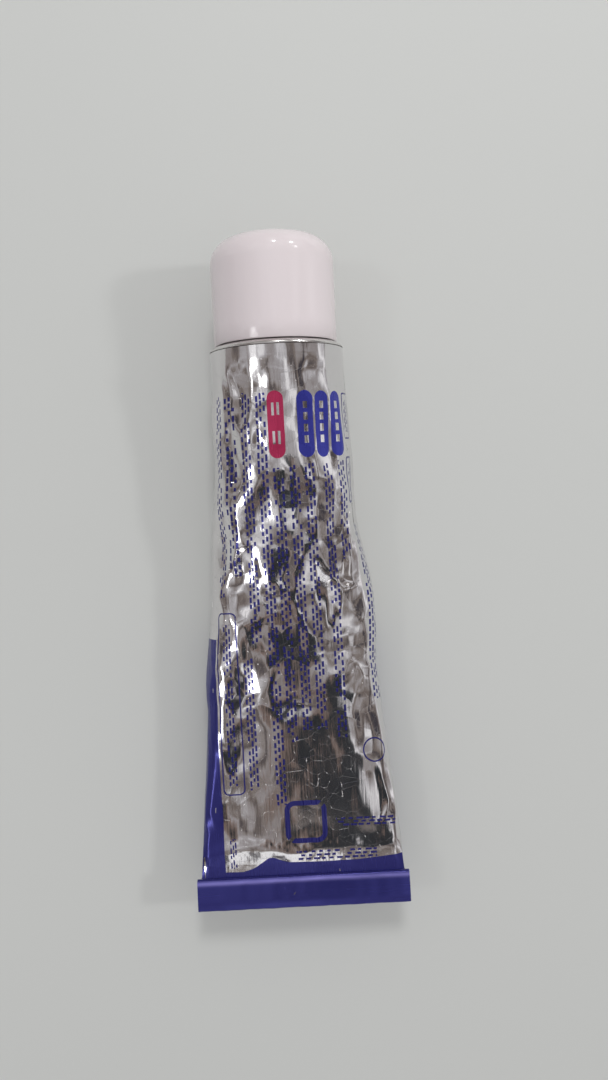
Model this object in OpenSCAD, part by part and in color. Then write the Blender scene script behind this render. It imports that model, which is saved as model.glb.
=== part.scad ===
// A collapsible aluminium cream tube with a screw cap, crumpled by use and lying on its back.
// +Y runs towards the cap, +Z is up, and the origin is under the middle of the tube, on the table.

/* [Tube] */
// Outside diameter of the round end
tube_d = 22; // [19:0.5:25]
// Length of the side wall from the shoulder to the folded strip
body_len = 87.5; // [76:0.5:100]
// Thickness of the side wall
wall = 0.15; // [0.12:0.01:0.2]
// How late the wall flattens towards the strip; 1 is an even wedge
flatten = 1.2; // [1.1:0.05:1.5]

/* [Lie on the table] */
// Tilt of the shoulder, neck and cap above the table, in degrees
head_tilt = 5.5; // [4:0.5:8]
// Height of the shoulder's lowest edge above the table
head_lift = 0.45; // [0.3:0.05:0.8]
// Distance from the shoulder to where the wall leaves the table
rest_end = 38; // [30:1:50]
// Height of the underside of the tube at the strip
tail_rise = 8.9; // [4:0.1:10]
// How late the tail curls up; 1 is a straight slope
curl = 1.3; // [1.1:0.05:2]

/* [Folded strip] */
// Height of the strip, from its rolled edge to the end of the tube
strip_h = 5.4; // [4:0.1:7]
// Width that the pressing adds to the strip, past half the wall's circumference
strip_spread = 1.1; // [0.6:0.1:1.6]
// Gap between the layers of the strip
layer_gap = 0.03; // [0.02:0.01:0.08]
// Distance that the inner layer stops short of the outer bend
tuck_short = 0.9; // [0.5:0.1:1.5]

/* [Crumples] */
// Depth of the small dents that handling leaves
dent_depth = 0.4; // [0.2:0.05:0.7]
// Share of that depth that is left in the flat part towards the strip
calm = 0.3; // [0.2:0.05:1]
// Length of one facet along the wall
facet_len = 4; // [3.5:0.5:6]
// Share of a cell by which the corners of a facet wander
wander = 0.3; // [0:0.05:0.35]

/* [Shoulder and neck] */
// Radius of the rounded edge of the shoulder
shoulder_r = 0.6; // [0.4:0.05:0.9]
// Thickness of the shoulder
shoulder_t = 0.8; // [0.6:0.05:1]
// Slope of the shoulder's cone, in degrees
shoulder_slope = 24; // [15:1:30]
// Outside diameter of the neck at the root of its thread
neck_d = 10; // [9:0.1:10.4]
// Length of the neck above the cone
neck_len = 10; // [8:0.5:11]
// Thickness of the neck's side
neck_wall = 1.5; // [1:0.1:1.8]
// Thickness of the neck's end
tip_t = 1; // [0.6:0.1:1.5]
// Diameter of the opening in the neck's end
orifice_d = 3.6; // [3:0.1:4]

/* [Cap] */
// Outside diameter of the cap
cap_d = 20.2; // [19.5:0.1:21]
// Height of the cap
cap_len = 17.1; // [16:0.1:20]
// Radius of the rounded edge of the cap's top
cap_r = 4.3; // [3:0.1:4.8]
// Depth of the shallow dish in the cap's top
dish_depth = 0.25; // [0.15:0.05:0.4]
// Thickness of the cap's skirt
skirt_t = 1.2; // [0.9:0.1:1.4]
// Thickness of the cap's top
top_t = 1.5; // [1.2:0.1:2]
// Thickness of the threaded sleeve inside the cap
sleeve_t = 1.3; // [1:0.1:1.6]
// Number of ribs between the sleeve and the skirt
rib_count = 8; // [6:1:10]
// Thickness of each rib
rib_t = 0.9; // [0.7:0.1:1.2]
// Distance that the ribs stop short of the cap's mouth
rib_short = 5; // [4:0.5:7]
// Radial clearance between the thread root of the neck and the sleeve
thread_gap = 0.55; // [0.5:0.05:0.7]
// Clearance between the closed cap and what it seats on
seat_gap = 0.2; // [0.1:0.05:0.3]

/* [Cream] */
// Clearance between the cream and the metal around it
cream_gap = 0.05; // [0.03:0.01:0.08]

/* [Hidden] */
$fn = 96;
eps = 0.01;

// The wall keeps its circumference all the way, so the strip is little more than half of it wide.
tube_r = tube_d / 2;
girth = PI * tube_d;
strip_w = girth / 2 + strip_spread;
sheet_t = 2 * wall;

// Facets of the wall: a coarse net of corners, each cell halved both ways. Whole facets fit
// round a quarter of it, so corners lie in line with its sides, and along it.
facet_w = 0.72 * facet_len;
cells_round = 4 * round(girth / facet_w / 4);
cells_along = round(body_len / facet_len);
halves = 2;
net_round = cells_round * halves;
net_along = cells_along * halves;

// The wall's ends are bedded a little way into the shoulder and into the strip.
bed = 0.3;
bed_start = 0.1;
end_t = 1.7 * wall;
end_short = 0.1;
last_mark = net_along - 0.6;
marks = [each [0 : net_along - 1], last_mark, net_along];
rows = len(marks);

// Creases and dents seen from above and below. Each runs from one end to the other, as
// [degrees round from the top centre, percent along from the shoulder] for both ends,
// then its reach to either side and its depth in the middle.
creases = [
    [-38, 3, -30, 14, 3.2, 0.9], [-14, 5, -20, 20, 2.8, 0.6], [-46, 12, -40, 24, 3.4, 0.8],
    [-16, 26, -34, 36, 4, 0.7], [-56, 30, -62, 40, 4, 0.9], [-34, 38, -44, 46, 4.2, 1.2],
    [20, 39, 33, 53, 4, 1.1], [10, 22, 14, 34, 3.4, 0.4], [38, 10, 44, 24, 3.6, 0.7],
    [44, 30, 52, 42, 4.4, 0.9], [48, 55, 48, 56, 4.6, 1.5], [31, 55, 67, 47, 2.6, 0.7],
    [31, 56, 54, 59, 2.6, 0.6], [53, 56, 59, 66, 2.4, 0.8], [59, 66, 65, 78, 2.4, 0.7],
    [65, 78, 72, 91, 2.4, 0.5], [-37, 60, -48, 66, 3.6, 0.9], [-40, 72, -52, 78, 3.6, 0.7],
    [-12, 68, 16, 67, 2.2, 0.35], [-64, 84, -50, 92, 4, 0.5], [80, 20, 84, 44, 4, 0.8],
    [-84, 14, -80, 30, 4, 0.8], [-88, 52, -84, 62, 4, 0.8], [150, 20, 170, 38, 4.5, 0.9],
    [-150, 50, -130, 64, 4.5, 0.8], [125, 62, 140, 74, 4, 0.7], [-160, 78, -120, 84, 3.6, 0.5]
];
// Places where the wall bulges out, written the same way.
bulges = [
    [84, 40, 88, 52, 9, 1.2], [-90, 54, -90, 62, 7, 1], [70, 84, 80, 92, 6, 0.4]
];

// Heights along the wall, at a distance s from the shoulder.
land = 2 * head_lift / tan(head_tilt);
function share(s) = max(0, min(1, s / body_len));
function thick(s) = end_t + (tube_d - end_t) * (1 - pow(share(s), flatten));
function thick_slope(s) = -(tube_d - end_t) * flatten / body_len * pow(share(s), flatten - 1);
function under(s) =
    s < land ? head_lift * pow(1 - s / land, 2) :
    s < rest_end ? 0 :
    tail_rise * pow((s - rest_end) / (body_len - rest_end), curl);
function under_slope(s) =
    s < land ? -2 * head_lift / land * (1 - s / land) :
    s < rest_end ? 0 :
    tail_rise * curl / (body_len - rest_end) * pow((s - rest_end) / (body_len - rest_end), curl - 1);
function lean(s) = s > 0 ? atan(under_slope(s) + thick_slope(s) / 2) : -head_tilt;
function middle(s) = under(s) + thick(s) / 2 * cos(lean(s));

// The shoulder's cone and the neck on it, with zero at the shoulder's edge.
lip_r = tube_r + 0.03;
round_x = lip_r - shoulder_r;
cone_x = round_x + shoulder_r * sin(shoulder_slope);
cone_z = bed_start + shoulder_r * cos(shoulder_slope);
neck_r = neck_d / 2;
bore_r = neck_r - neck_wall;
tip_z = cone_height(neck_r) + neck_len;
cone_drop = shoulder_t / cos(shoulder_slope);
tip_bevel = 0.5;
function cone_height(r) = cone_z + (cone_x - r) * tan(shoulder_slope);
function cone_radius(z) = cone_x - (z - cone_z) / tan(shoulder_slope);

// The cap sits just clear of the cone.
cap_out = cap_d / 2;
cap_z = cone_height(cap_out) + seat_gap;
cap_top = cap_z + cap_len;

// The head sits where it centres the whole tube over the origin.
strip_bend = (3 * sheet_t + 2 * layer_gap) / 2;
tail_lean = lean(body_len);
cap_reach = (cap_top - cap_r) * cos(head_tilt) + (cap_d / 2 - cap_r) * sin(head_tilt) + cap_r;
strip_reach = body_len + (strip_h - strip_bend) * cos(tail_lean)
    - (strip_bend - sheet_t / 2) * sin(tail_lean) + strip_bend;
head_y = (strip_reach - cap_reach) / 2;
head_z = middle(0);

// A section is a slot with round ends; arc is the distance round it from the top centre, as a share.
function slot_at(arc, t, w) =
    let (
        r = t / 2,
        flat = (w - t) / 2,
        side = PI * r,
        whole = 4 * flat + 2 * side,
        d = (arc - floor(arc)) * whole
    )
    d < flat ? [d, r, 0] :
    d < flat + side ? slot_end(flat, r, (d - flat) / side * 180, 1) :
    d < 3 * flat + side ? [2 * flat + side - d, -r, 180] :
    d < 3 * flat + 2 * side ? slot_end(flat, r, (d - 3 * flat - side) / side * 180, -1) :
    [d - whole, r, 0];
function slot_end(flat, r, turn, way) =
    let (a = way > 0 ? turn : turn + 180)
    [way * flat + r * sin(a), r * cos(a), a];

// A point of the smooth wall, pushed in by depth. The slot gets its width from the circumference.
function wall_point(arc, s, depth) =
    let (
        t = thick(s),
        w = t + (girth - PI * t) / 2 - (s >= body_len ? end_short : 0),
        p = slot_at(arc, t, w),
        a = lean(s),
        x = p[0] - depth * sin(p[2]),
        v = p[1] - depth * cos(p[2])
    )
    [x, head_y - s + v * sin(a), middle(s) + v * cos(a)];

// Corners of the facets: where they lie on the wall, and how deep they are pushed in.
function scatter(i, j, k) =
    let (v = sin(i * 127.1 + j * 311.7 + k * 74.7) * 437.585)
    2 * (v - floor(v)) - 1;
function round_index(i) = (i + cells_round) % cells_round;
// The corners of both sides and of the underside stay in line.
function in_line(i) = round_index(i) != 0 && round_index(i) % (cells_round / 4) == 0;
// The facets are shallower where the wall is pressed flat.
calm_from = 0.6;
calm_to = 0.72;
function calmed(far) = 1 - (1 - calm) * max(0, min(1, (far - calm_from) / (calm_to - calm_from)));
function corner(i, j) =
    let (k = round_index(i), moves = j > 0 && j < cells_along - 1)
    [
        (i + (moves && !in_line(i) ? wander * scatter(k, j, 2) : 0)) / cells_round,
        (j + (moves ? wander * scatter(k, j, 3) : 0)) / cells_along,
        moves ? dent_depth * (0.5 + 0.5 * scatter(k, j, 1)) * (in_line(i) ? 0.4 : 1)
            * calmed(j / cells_along) : 0
    ];

// How deep the creases push the wall in at a place on it. It stays smooth where it lies on the table.
flat_turn = 12;
function half_turn(a) = a - 360 * round(a / 360);
// A crease that is long for its reach gets narrower and shallower towards both ends.
run_out = 0.6;
function crease_at(c, turn, far) =
    let (
        across = girth / 360,
        p = [half_turn(turn - c[0]) * across, (far - c[1] / 100) * body_len],
        q = [(c[2] - c[0]) * across, (c[3] - c[1]) / 100 * body_len],
        f = max(0, min(1, (p * q) / (q * q))),
        left = 1 - run_out * pow(2 * f - 1, 2) * min(1, norm(q) / (3 * c[4]))
    )
    c[5] * left * max(0, 1 - norm(p - f * q) / (c[4] * left));
function deepest(list, turn, far) = max([for (c = list) crease_at(c, turn, far)]);
function all_depth(arc, far, small) =
    let (
        edge = max(0, min(1, far * body_len / 3, (1 - far) * body_len / 3)),
        lying = max(0, min(1, (abs(half_turn(arc * 360 - 180)) - flat_turn) / flat_turn)),
        inward = small + deepest(creases, arc * 360, far),
        outward = deepest(bulges, arc * 360, far)
    )
    min(0.3 * thick(far * body_len), inward - outward) * edge * lying;

// Between the corners a cell is two flat triangles.
function facet(m, n) =
    let (
        i = floor(m / halves),
        j = min(floor(n / halves), cells_along - 1),
        a = m / halves - i,
        b = n / halves - j,
        c00 = corner(i, j),
        c10 = corner(i + 1, j),
        c01 = corner(i, j + 1),
        c11 = corner(i + 1, j + 1)
    )
    (i + j) % 2 == 0 ?
        (a > b ? c00 + (c10 - c00) * a + (c11 - c10) * b : c00 + (c01 - c00) * b + (c11 - c01) * a) :
        (a + b < 1 ? c00 + (c10 - c00) * a + (c01 - c00) * b :
            c11 + (c01 - c11) * (1 - a) + (c10 - c11) * (1 - b));

net = [for (n = marks) [for (m = [0 : net_round - 1])
    let (f = facet(m, n)) wall_point(f[0], f[1] * body_len, all_depth(f[0], f[1], f[2]))]];
function net_at(m, n) = net[max(0, min(rows - 1, n))][(m + net_round) % net_round];
function unit(v) = v / norm(v);
function net_out(m, n) = unit(cross(
    net_at(m, n + 1) - net_at(m, n - 1),
    net_at(m + 1, n) - net_at(m - 1, n)));
function pushed(gap, last) = [for (n = [0 : last]) [for (m = [0 : net_round - 1])
    net_at(m, n) - gap * (n == 0 ? rim_out(m) : net_out(m, n))]];
function rim_out(m) = unit(net_at(m, 0) - [0, head_y, head_z]);

// Rows of points are carried a little further at both ends, along the head and along the tail.
head_way = [0, cos(head_tilt), sin(head_tilt)];
tail_way = [0, -cos(tail_lean), sin(tail_lean)];
function shifted(row, way) = [for (p = row) p + way];
function flat_list(rows) = [for (row = rows) for (p = row) p];

// Skins between rows of points, flat ends, and the rim between an outer and an inner ring.
function skin(first, count, outwards) = [for (n = [0 : count - 2]) for (m = [0 : net_round - 1])
    let (
        a = first + n * net_round + m,
        b = first + n * net_round + (m + 1) % net_round,
        c = b + net_round,
        d = a + net_round
    )
    each (outwards ? [[a, b, c], [a, c, d]] : [[a, c, b], [a, d, c]])];
function lid(first, forwards) = [for (m = [-net_round / 4 : net_round / 4 - 1])
    let (
        a = lid_index(m),
        b = lid_index(m + 1),
        c = lid_index(net_round / 2 - m - 1),
        d = lid_index(net_round / 2 - m)
    )
    for (t = [[a, b, c], [a, c, d]])
        if (t[0] != t[1] && t[1] != t[2] && t[0] != t[2])
            [for (k = [0 : 2]) first + t[forwards ? k : 2 - k]]];
function lid_index(m) = (m + net_round) % net_round;
function rim(outer, inner) = [for (m = [0 : net_round - 1])
    let (k = (m + 1) % net_round)
    each [[outer + m, inner + m, inner + k], [outer + m, inner + k, outer + k]]];

module side_wall() {
    outer_rows = concat([shifted(net[0], head_way * bed)], net, [shifted(net[rows - 1], tail_way * bed)]);
    inner_net = pushed(wall, rows - 2);
    inner_rows = concat([shifted(inner_net[0], head_way * bed)], inner_net);
    inner_first = len(outer_rows) * net_round;
    polyhedron(
        points = flat_list(concat(outer_rows, inner_rows)),
        faces = concat(
            skin(0, len(outer_rows), true),
            lid((len(outer_rows) - 1) * net_round, true),
            skin(inner_first, len(inner_rows), false),
            lid(inner_first + (len(inner_rows) - 1) * net_round, false),
            rim(0, inner_first)
        )
    );
}

// The strip: the wall's two sides lie flat together, are turned over towards the top and rolled in.
// Drawn with u away from the tube and v upwards, from the middle of the lowest layer.
layer_step = sheet_t + layer_gap;
module bent(r_out, r_in, way) {
    intersection() {
        difference() {
            circle(r = r_out);
            circle(r = r_in);
        }
        translate([way > 0 ? 0 : -2 * r_out, -2 * r_out]) square([2 * r_out, 4 * r_out]);
    }
}
module strip_layer(from, to, level) {
    translate([from, level * layer_step - sheet_t / 2]) square([to - from, sheet_t]);
}
module strip_profile() {
    tuck_r = sheet_t + layer_gap / 2;
    strip_layer(bed_start, strip_h - strip_bend, 0);
    translate([strip_h - strip_bend, layer_step]) bent(strip_bend, strip_bend - sheet_t, 1);
    strip_layer(tuck_r, strip_h - strip_bend, 2);
    translate([tuck_r, 1.5 * layer_step]) bent(tuck_r, layer_gap / 2, -1);
    strip_layer(tuck_r, strip_h - tuck_short, 1);
}
module strip() {
    translate([strip_w / 2, head_y - body_len, middle(body_len)])
        rotate([-tail_lean, 0, 0]) rotate([90, 0, -90])
            linear_extrude(strip_w) strip_profile();
}

// Puts something drawn along +Z on the head's axis, with its zero at the shoulder's edge.
module on_head() {
    translate([0, head_y, head_z]) rotate([head_tilt - 90, 0, 0]) children();
}

module head_outline() {
    intersection() {
        translate([round_x, bed_start]) circle(r = shoulder_r);
        translate([0, bed_start]) square(tube_d);
    }
    polygon([
        [0, bed_start],
        [round_x, bed_start],
        [cone_x, cone_z],
        [neck_r, cone_height(neck_r)],
        [neck_r, tip_z - tip_bevel],
        [neck_r - tip_bevel, tip_z],
        [0, tip_z]
    ]);
}
// The space below the cone and in the neck; less is taken off all round for what fills it.
module head_space(less) {
    drop = cone_drop + less / cos(shoulder_slope);
    polygon([
        [0, bed_start - less],
        [cone_radius(bed_start - less + drop), bed_start - less],
        [bore_r - less, cone_height(bore_r - less) - drop],
        [bore_r - less, tip_z - tip_t - less],
        [0, tip_z - tip_t - less]
    ]);
}
module head() {
    rotate_extrude() difference() {
        head_outline();
        head_space(0);
        square([orifice_d / 2, 2 * tip_z]);
    }
}

module tube_body() {
    color("silver") {
        side_wall();
        strip();
        on_head() head();
    }
}

// The cap, drawn on the head's axis like the head.
ceiling = cap_top - top_t;
sleeve_in = neck_r + thread_gap;
sleeve_out = sleeve_in + sleeve_t;
sleeve_z = cone_height(sleeve_in) + seat_gap;
end_ring = 0.8;
dish_w = cap_out - cap_r - end_ring;
dish_ball = (dish_w * dish_w + dish_depth * dish_depth) / (2 * dish_depth);
gate_r = 1;
gate_depth = 0.25;
plug_r = 3.6;
plug_t = 1;

module cap_outline() {
    translate([0, cap_z]) square([cap_out, cap_len - cap_r]);
    translate([0, cap_z]) square([cap_out - cap_r, cap_len]);
    intersection() {
        translate([cap_out - cap_r, cap_top - cap_r]) circle(r = cap_r);
        square([cap_out, cap_top]);
    }
}
// The hollow follows the outline at the skirt's thickness.
module cap_hollow() {
    inside_r = cap_out - skirt_t;
    bend_r = cap_r - skirt_t;
    square([inside_r, ceiling - bend_r]);
    square([inside_r - bend_r, ceiling]);
    intersection() {
        translate([inside_r - bend_r, ceiling - bend_r]) circle(r = bend_r);
        square([inside_r, ceiling]);
    }
}
// The mouth's lower face runs along the shoulder's cone.
module mouth_cut() {
    polygon([
        [0, 0],
        [cap_out + 1, 0],
        [cap_out + 1, cone_height(cap_out + 1) + seat_gap],
        [0, cone_height(0) + seat_gap]
    ]);
}
module sleeve_outline() {
    translate([sleeve_in, sleeve_z]) square([sleeve_t, ceiling - sleeve_z + eps]);
    translate([plug_r - plug_t, tip_z + seat_gap]) square([plug_t, ceiling - tip_z - seat_gap + eps]);
}
module cap_ribs() {
    low = sleeve_z + rib_short;
    for (k = [0 : rib_count - 1])
        rotate([0, 0, k * 360 / rib_count])
            translate([sleeve_out - 0.2, -rib_t / 2, low])
                cube([cap_out - skirt_t - sleeve_out + 0.4, rib_t, ceiling - cap_r + skirt_t - low]);
}
module cap() {
    color("mistyrose") on_head() {
        difference() {
            rotate_extrude() difference() {
                cap_outline();
                cap_hollow();
                mouth_cut();
            }
            translate([0, 0, cap_top - dish_depth + dish_ball]) sphere(r = dish_ball);
            translate([0, 0, cap_top - dish_depth + gate_r - gate_depth]) sphere(r = gate_r);
        }
        rotate_extrude() sleeve_outline();
        cap_ribs();
    }
}

// The cream fills the tube up to the opening.
module cream_in_wall() {
    cream_rows = pushed(wall + cream_gap, rows - 3);
    polyhedron(
        points = flat_list(cream_rows),
        faces = concat(
            lid(0, false),
            skin(0, len(cream_rows), true),
            lid((len(cream_rows) - 1) * net_round, true)
        )
    );
}
module cream() {
    color("ivory") {
        cream_in_wall();
        on_head() rotate_extrude() {
            head_space(cream_gap);
            translate([0, -1]) square([cone_radius(bed_start + cone_drop) - 0.2, 1.05]);
        }
    }
}

tube_body();
cap();
cream();
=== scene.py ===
# %% [markdown]
# # A crumpled aluminium cream tube
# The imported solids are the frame: a thin metal tube, its screw cap and the cream inside.
# This lesson dresses them: a finer skin with the same creases, the folded strip, a neck with its
# thread, a glossy cap, and the ink that is printed on the metal.

# %% Load the frame
import math

import bmesh
import bpy
from mathutils import Matrix, Vector


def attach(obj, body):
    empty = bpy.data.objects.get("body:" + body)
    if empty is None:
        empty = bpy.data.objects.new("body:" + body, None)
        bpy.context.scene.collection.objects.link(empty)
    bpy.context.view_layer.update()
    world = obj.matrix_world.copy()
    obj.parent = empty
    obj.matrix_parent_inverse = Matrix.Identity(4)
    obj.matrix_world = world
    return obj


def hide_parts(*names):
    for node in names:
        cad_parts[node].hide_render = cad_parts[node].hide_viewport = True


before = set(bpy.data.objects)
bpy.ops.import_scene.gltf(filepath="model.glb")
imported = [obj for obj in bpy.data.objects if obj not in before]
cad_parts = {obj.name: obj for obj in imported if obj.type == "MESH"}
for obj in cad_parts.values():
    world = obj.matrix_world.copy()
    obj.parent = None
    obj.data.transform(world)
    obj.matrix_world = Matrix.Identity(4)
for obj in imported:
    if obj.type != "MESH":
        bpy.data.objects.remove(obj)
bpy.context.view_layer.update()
MM = 0.001

# %% [markdown]
# ## Sizes that the solids have
# The wall is a slot with round ends that keeps its circumference from the round shoulder to the
# flat strip, so its width follows from its thickness. Its underside lies on the table and then
# curls up. The shape could be measured from the solid's mesh, but a few numbers describe all of
# it, so the same ones as in the solids are written here, in millimetres.

# %% Sizes in millimetres
TUBE_D, BODY_LEN, WALL, FLATTEN = 22.0, 87.5, 0.15, 1.2
HEAD_TILT, HEAD_LIFT, REST_END = 5.5, 0.45, 38.0
TAIL_RISE, CURL = 8.9, 1.3
STRIP_H, STRIP_SPREAD, LAYER_GAP = 5.4, 1.1, 0.03
DENT, WANDER, CALM = 0.4, 0.3, 0.3
GIRTH = math.pi * TUBE_D
END_T = 1.7 * WALL
HEAD_Y = 37.0795  # the shoulder's place along the table
LAND = 2 * HEAD_LIFT / math.tan(math.radians(HEAD_TILT))


def sin_deg(a):
    return math.sin(math.radians(a))


def cos_deg(a):
    return math.cos(math.radians(a))


def share(s):
    return max(0.0, min(1.0, s / BODY_LEN))


def thick(s):
    return END_T + (TUBE_D - END_T) * (1 - share(s) ** FLATTEN)


def under(s):
    if s < LAND:
        return HEAD_LIFT * (1 - s / LAND) ** 2
    if s < REST_END:
        return 0.0
    return TAIL_RISE * ((s - REST_END) / (BODY_LEN - REST_END)) ** CURL


def lean(s):
    if s <= 0:
        return -HEAD_TILT
    thinner = -(TUBE_D - END_T) * FLATTEN / BODY_LEN * share(s) ** (FLATTEN - 1)
    if s < LAND:
        rise = -2 * HEAD_LIFT / LAND * (1 - s / LAND)
    elif s < REST_END:
        rise = 0.0
    else:
        tail = BODY_LEN - REST_END
        rise = TAIL_RISE * CURL / tail * ((s - REST_END) / tail) ** (CURL - 1)
    return math.degrees(math.atan(rise + thinner / 2))


def middle(s):
    return under(s) + thick(s) / 2 * cos_deg(lean(s))


print("strip is %.2f mm wide" % (GIRTH / 2))

# %% [markdown]
# ## Where a point of the wall lies
# A place on the wall is its share of the way round from the top centre and its distance from the
# shoulder. The slot gives the point and the direction that faces outwards there, and a depth
# pushes the point in. The solid's faces could be cut finer instead, but a formula gives a point
# for any place, so the skin can be as fine as a close look needs.

# %% The smooth wall
def slot_at(arc, t, w):
    r, flat = t / 2, (w - t) / 2
    side = math.pi * r
    whole = 4 * flat + 2 * side
    d = (arc - math.floor(arc)) * whole
    if d < flat:
        return d, r, 0.0
    if d < flat + side:
        a = (d - flat) / side * 180
        return flat + r * sin_deg(a), r * cos_deg(a), a
    if d < 3 * flat + side:
        return 2 * flat + side - d, -r, 180.0
    if d < 3 * flat + 2 * side:
        a = (d - 3 * flat - side) / side * 180 + 180
        return -flat + r * sin_deg(a), r * cos_deg(a), a
    return d - whole, r, 0.0


def wall_point(arc, s, depth):
    t = thick(s)
    x, v, turn = slot_at(arc, t, t + (GIRTH - math.pi * t) / 2)
    a = lean(s)
    x -= depth * sin_deg(turn)
    v -= depth * cos_deg(turn)
    return Vector((x, HEAD_Y - s + v * sin_deg(a), middle(s) + v * cos_deg(a))) * MM


print("the tail leans %.1f degrees" % lean(BODY_LEN))

# %% [markdown]
# ## Crumples
# Handling leaves small facets all over and longer creases where fingers pressed. The facets come
# from a coarse net of corners that wander a little, two flat triangles to a cell; the creases are
# short lines with a reach and a depth. They could be sculpted or left to a cloth run, but then the
# looks would leave the solids; these repeat the solids, only sampled more finely.

# %% Facets and creases
CELLS_ROUND, CELLS_ALONG = 24, 22
CREASES = [  # turn and share of the way at both ends, reach and depth
    (-38, 3, -30, 14, 3.2, 0.9), (-14, 5, -20, 20, 2.8, 0.6), (-46, 12, -40, 24, 3.4, 0.8),
    (-16, 26, -34, 36, 4, 0.7), (-56, 30, -62, 40, 4, 0.9), (-34, 38, -44, 46, 4.2, 1.2),
    (20, 39, 33, 53, 4, 1.1), (10, 22, 14, 34, 3.4, 0.4), (38, 10, 44, 24, 3.6, 0.7),
    (44, 30, 52, 42, 4.4, 0.9), (48, 55, 48, 56, 4.6, 1.5), (31, 55, 67, 47, 2.6, 0.7),
    (31, 56, 54, 59, 2.6, 0.6), (53, 56, 59, 66, 2.4, 0.8), (59, 66, 65, 78, 2.4, 0.7),
    (65, 78, 72, 91, 2.4, 0.5), (-37, 60, -48, 66, 3.6, 0.9), (-40, 72, -52, 78, 3.6, 0.7),
    (-12, 68, 16, 67, 2.2, 0.35), (-64, 84, -50, 92, 4, 0.5), (80, 20, 84, 44, 4, 0.8),
    (-84, 14, -80, 30, 4, 0.8), (-88, 52, -84, 62, 4, 0.8), (150, 20, 170, 38, 4.5, 0.9),
    (-150, 50, -130, 64, 4.5, 0.8), (125, 62, 140, 74, 4, 0.7), (-160, 78, -120, 84, 3.6, 0.5),
]
BULGES = [(84, 40, 88, 52, 9, 1.2), (-90, 54, -90, 62, 7, 1), (70, 84, 80, 92, 6, 0.4)]


def scatter(i, j, k):
    v = sin_deg(i * 127.1 + j * 311.7 + k * 74.7) * 437.585
    return 2 * (v - math.floor(v)) - 1


def calmed(far):
    return 1 - (1 - CALM) * max(0.0, min(1.0, (far - 0.6) / 0.12))


def corner(i, j):
    k, moves = i % CELLS_ROUND, 0 < j < CELLS_ALONG - 1
    held = k != 0 and k % (CELLS_ROUND // 4) == 0
    return Vector((
        (i + (WANDER * scatter(k, j, 2) if moves and not held else 0)) / CELLS_ROUND,
        (j + (WANDER * scatter(k, j, 3) if moves else 0)) / CELLS_ALONG,
        DENT * (0.5 + 0.5 * scatter(k, j, 1)) * (0.4 if held else 1) * calmed(j / CELLS_ALONG)
        if moves else 0,
    ))


CORNERS = {(i, j): corner(i, j) for i in range(-13, 14) for j in range(CELLS_ALONG + 1)}


def facet(x, y):
    i, j = math.floor(x), min(math.floor(y), CELLS_ALONG - 1)
    a, b = x - i, y - j
    c00, c10 = CORNERS[i, j], CORNERS[i + 1, j]
    c01, c11 = CORNERS[i, j + 1], CORNERS[i + 1, j + 1]
    if (i + j) % 2 == 0:
        if a > b:
            return c00 + (c10 - c00) * a + (c11 - c10) * b
        return c00 + (c01 - c00) * b + (c11 - c01) * a
    if a + b < 1:
        return c00 + (c10 - c00) * a + (c01 - c00) * b
    return c11 + (c01 - c11) * (1 - a) + (c10 - c11) * (1 - b)


def half_turn(a):
    return a - 360 * round(a / 360)


def deepest(lines, turn, far):
    most, across = 0.0, GIRTH / 360
    for a0, f0, a1, f1, reach, depth in lines:
        px, py = half_turn(turn - a0) * across, (far - f0 / 100) * BODY_LEN
        qx, qy = (a1 - a0) * across, (f1 - f0) / 100 * BODY_LEN
        f = max(0.0, min(1.0, (px * qx + py * qy) / (qx * qx + qy * qy)))
        left = 1 - 0.6 * (2 * f - 1) ** 2 * min(1.0, math.hypot(qx, qy) / (3 * reach))
        most = max(most, depth * left * (1 - math.hypot(px - f * qx, py - f * qy) / (reach * left)))
    return most


def depth_at(arc, far, small):
    edge = max(0.0, min(1.0, far * BODY_LEN / 3, (1 - far) * BODY_LEN / 3))
    lying = max(0.0, min(1.0, (abs(half_turn(arc * 360 - 180)) - 12) / 12))
    inward = small + deepest(CREASES, arc * 360, far)
    return min(0.3 * thick(far * BODY_LEN), inward - deepest(BULGES, arc * 360, far)) * edge * lying


print("corners:", len(CORNERS), "creases:", len(CREASES))

# %% [markdown]
# ## Making a piece from a bmesh
# Every new piece ends the same way: its normals are recalculated, it becomes an object at the
# origin, it rides on its body and its faces are shaded smooth where the real surface is curved.
# That could be written out for each piece, but one helper keeps them all alike.

# %% A helper that finishes a piece
def finish_piece(bm, name, body, smooth=True, angle=None):
    bmesh.ops.recalc_face_normals(bm, faces=bm.faces)
    for face in bm.faces:
        face.smooth = smooth
    if angle is not None:
        for edge in bm.edges:
            if len(edge.link_faces) == 2 and edge.calc_face_angle(0) > math.radians(angle):
                edge.smooth = False
    mesh = bpy.data.meshes.new(name)
    bm.to_mesh(mesh)
    bm.free()
    piece = bpy.data.objects.new(name, mesh)
    bpy.context.scene.collection.objects.link(piece)
    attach(piece, body)
    print(name, len(mesh.vertices), "vertices", len(mesh.polygons), "faces")
    return piece


# %% [markdown]
# ## The wall
# The wall is one grid, rolled up. Its corners are moved to where the solids have theirs, its two
# long edges are merged along the underside, and its map holds the way round and the way along,
# which is what the print is laid out on. Then it is cut finer, which rounds the ridges a little,
# as thin metal is never quite sharp where it folds. The solid's own mesh could be dressed instead,
# but it is too coarse for that and has no map.

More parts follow.
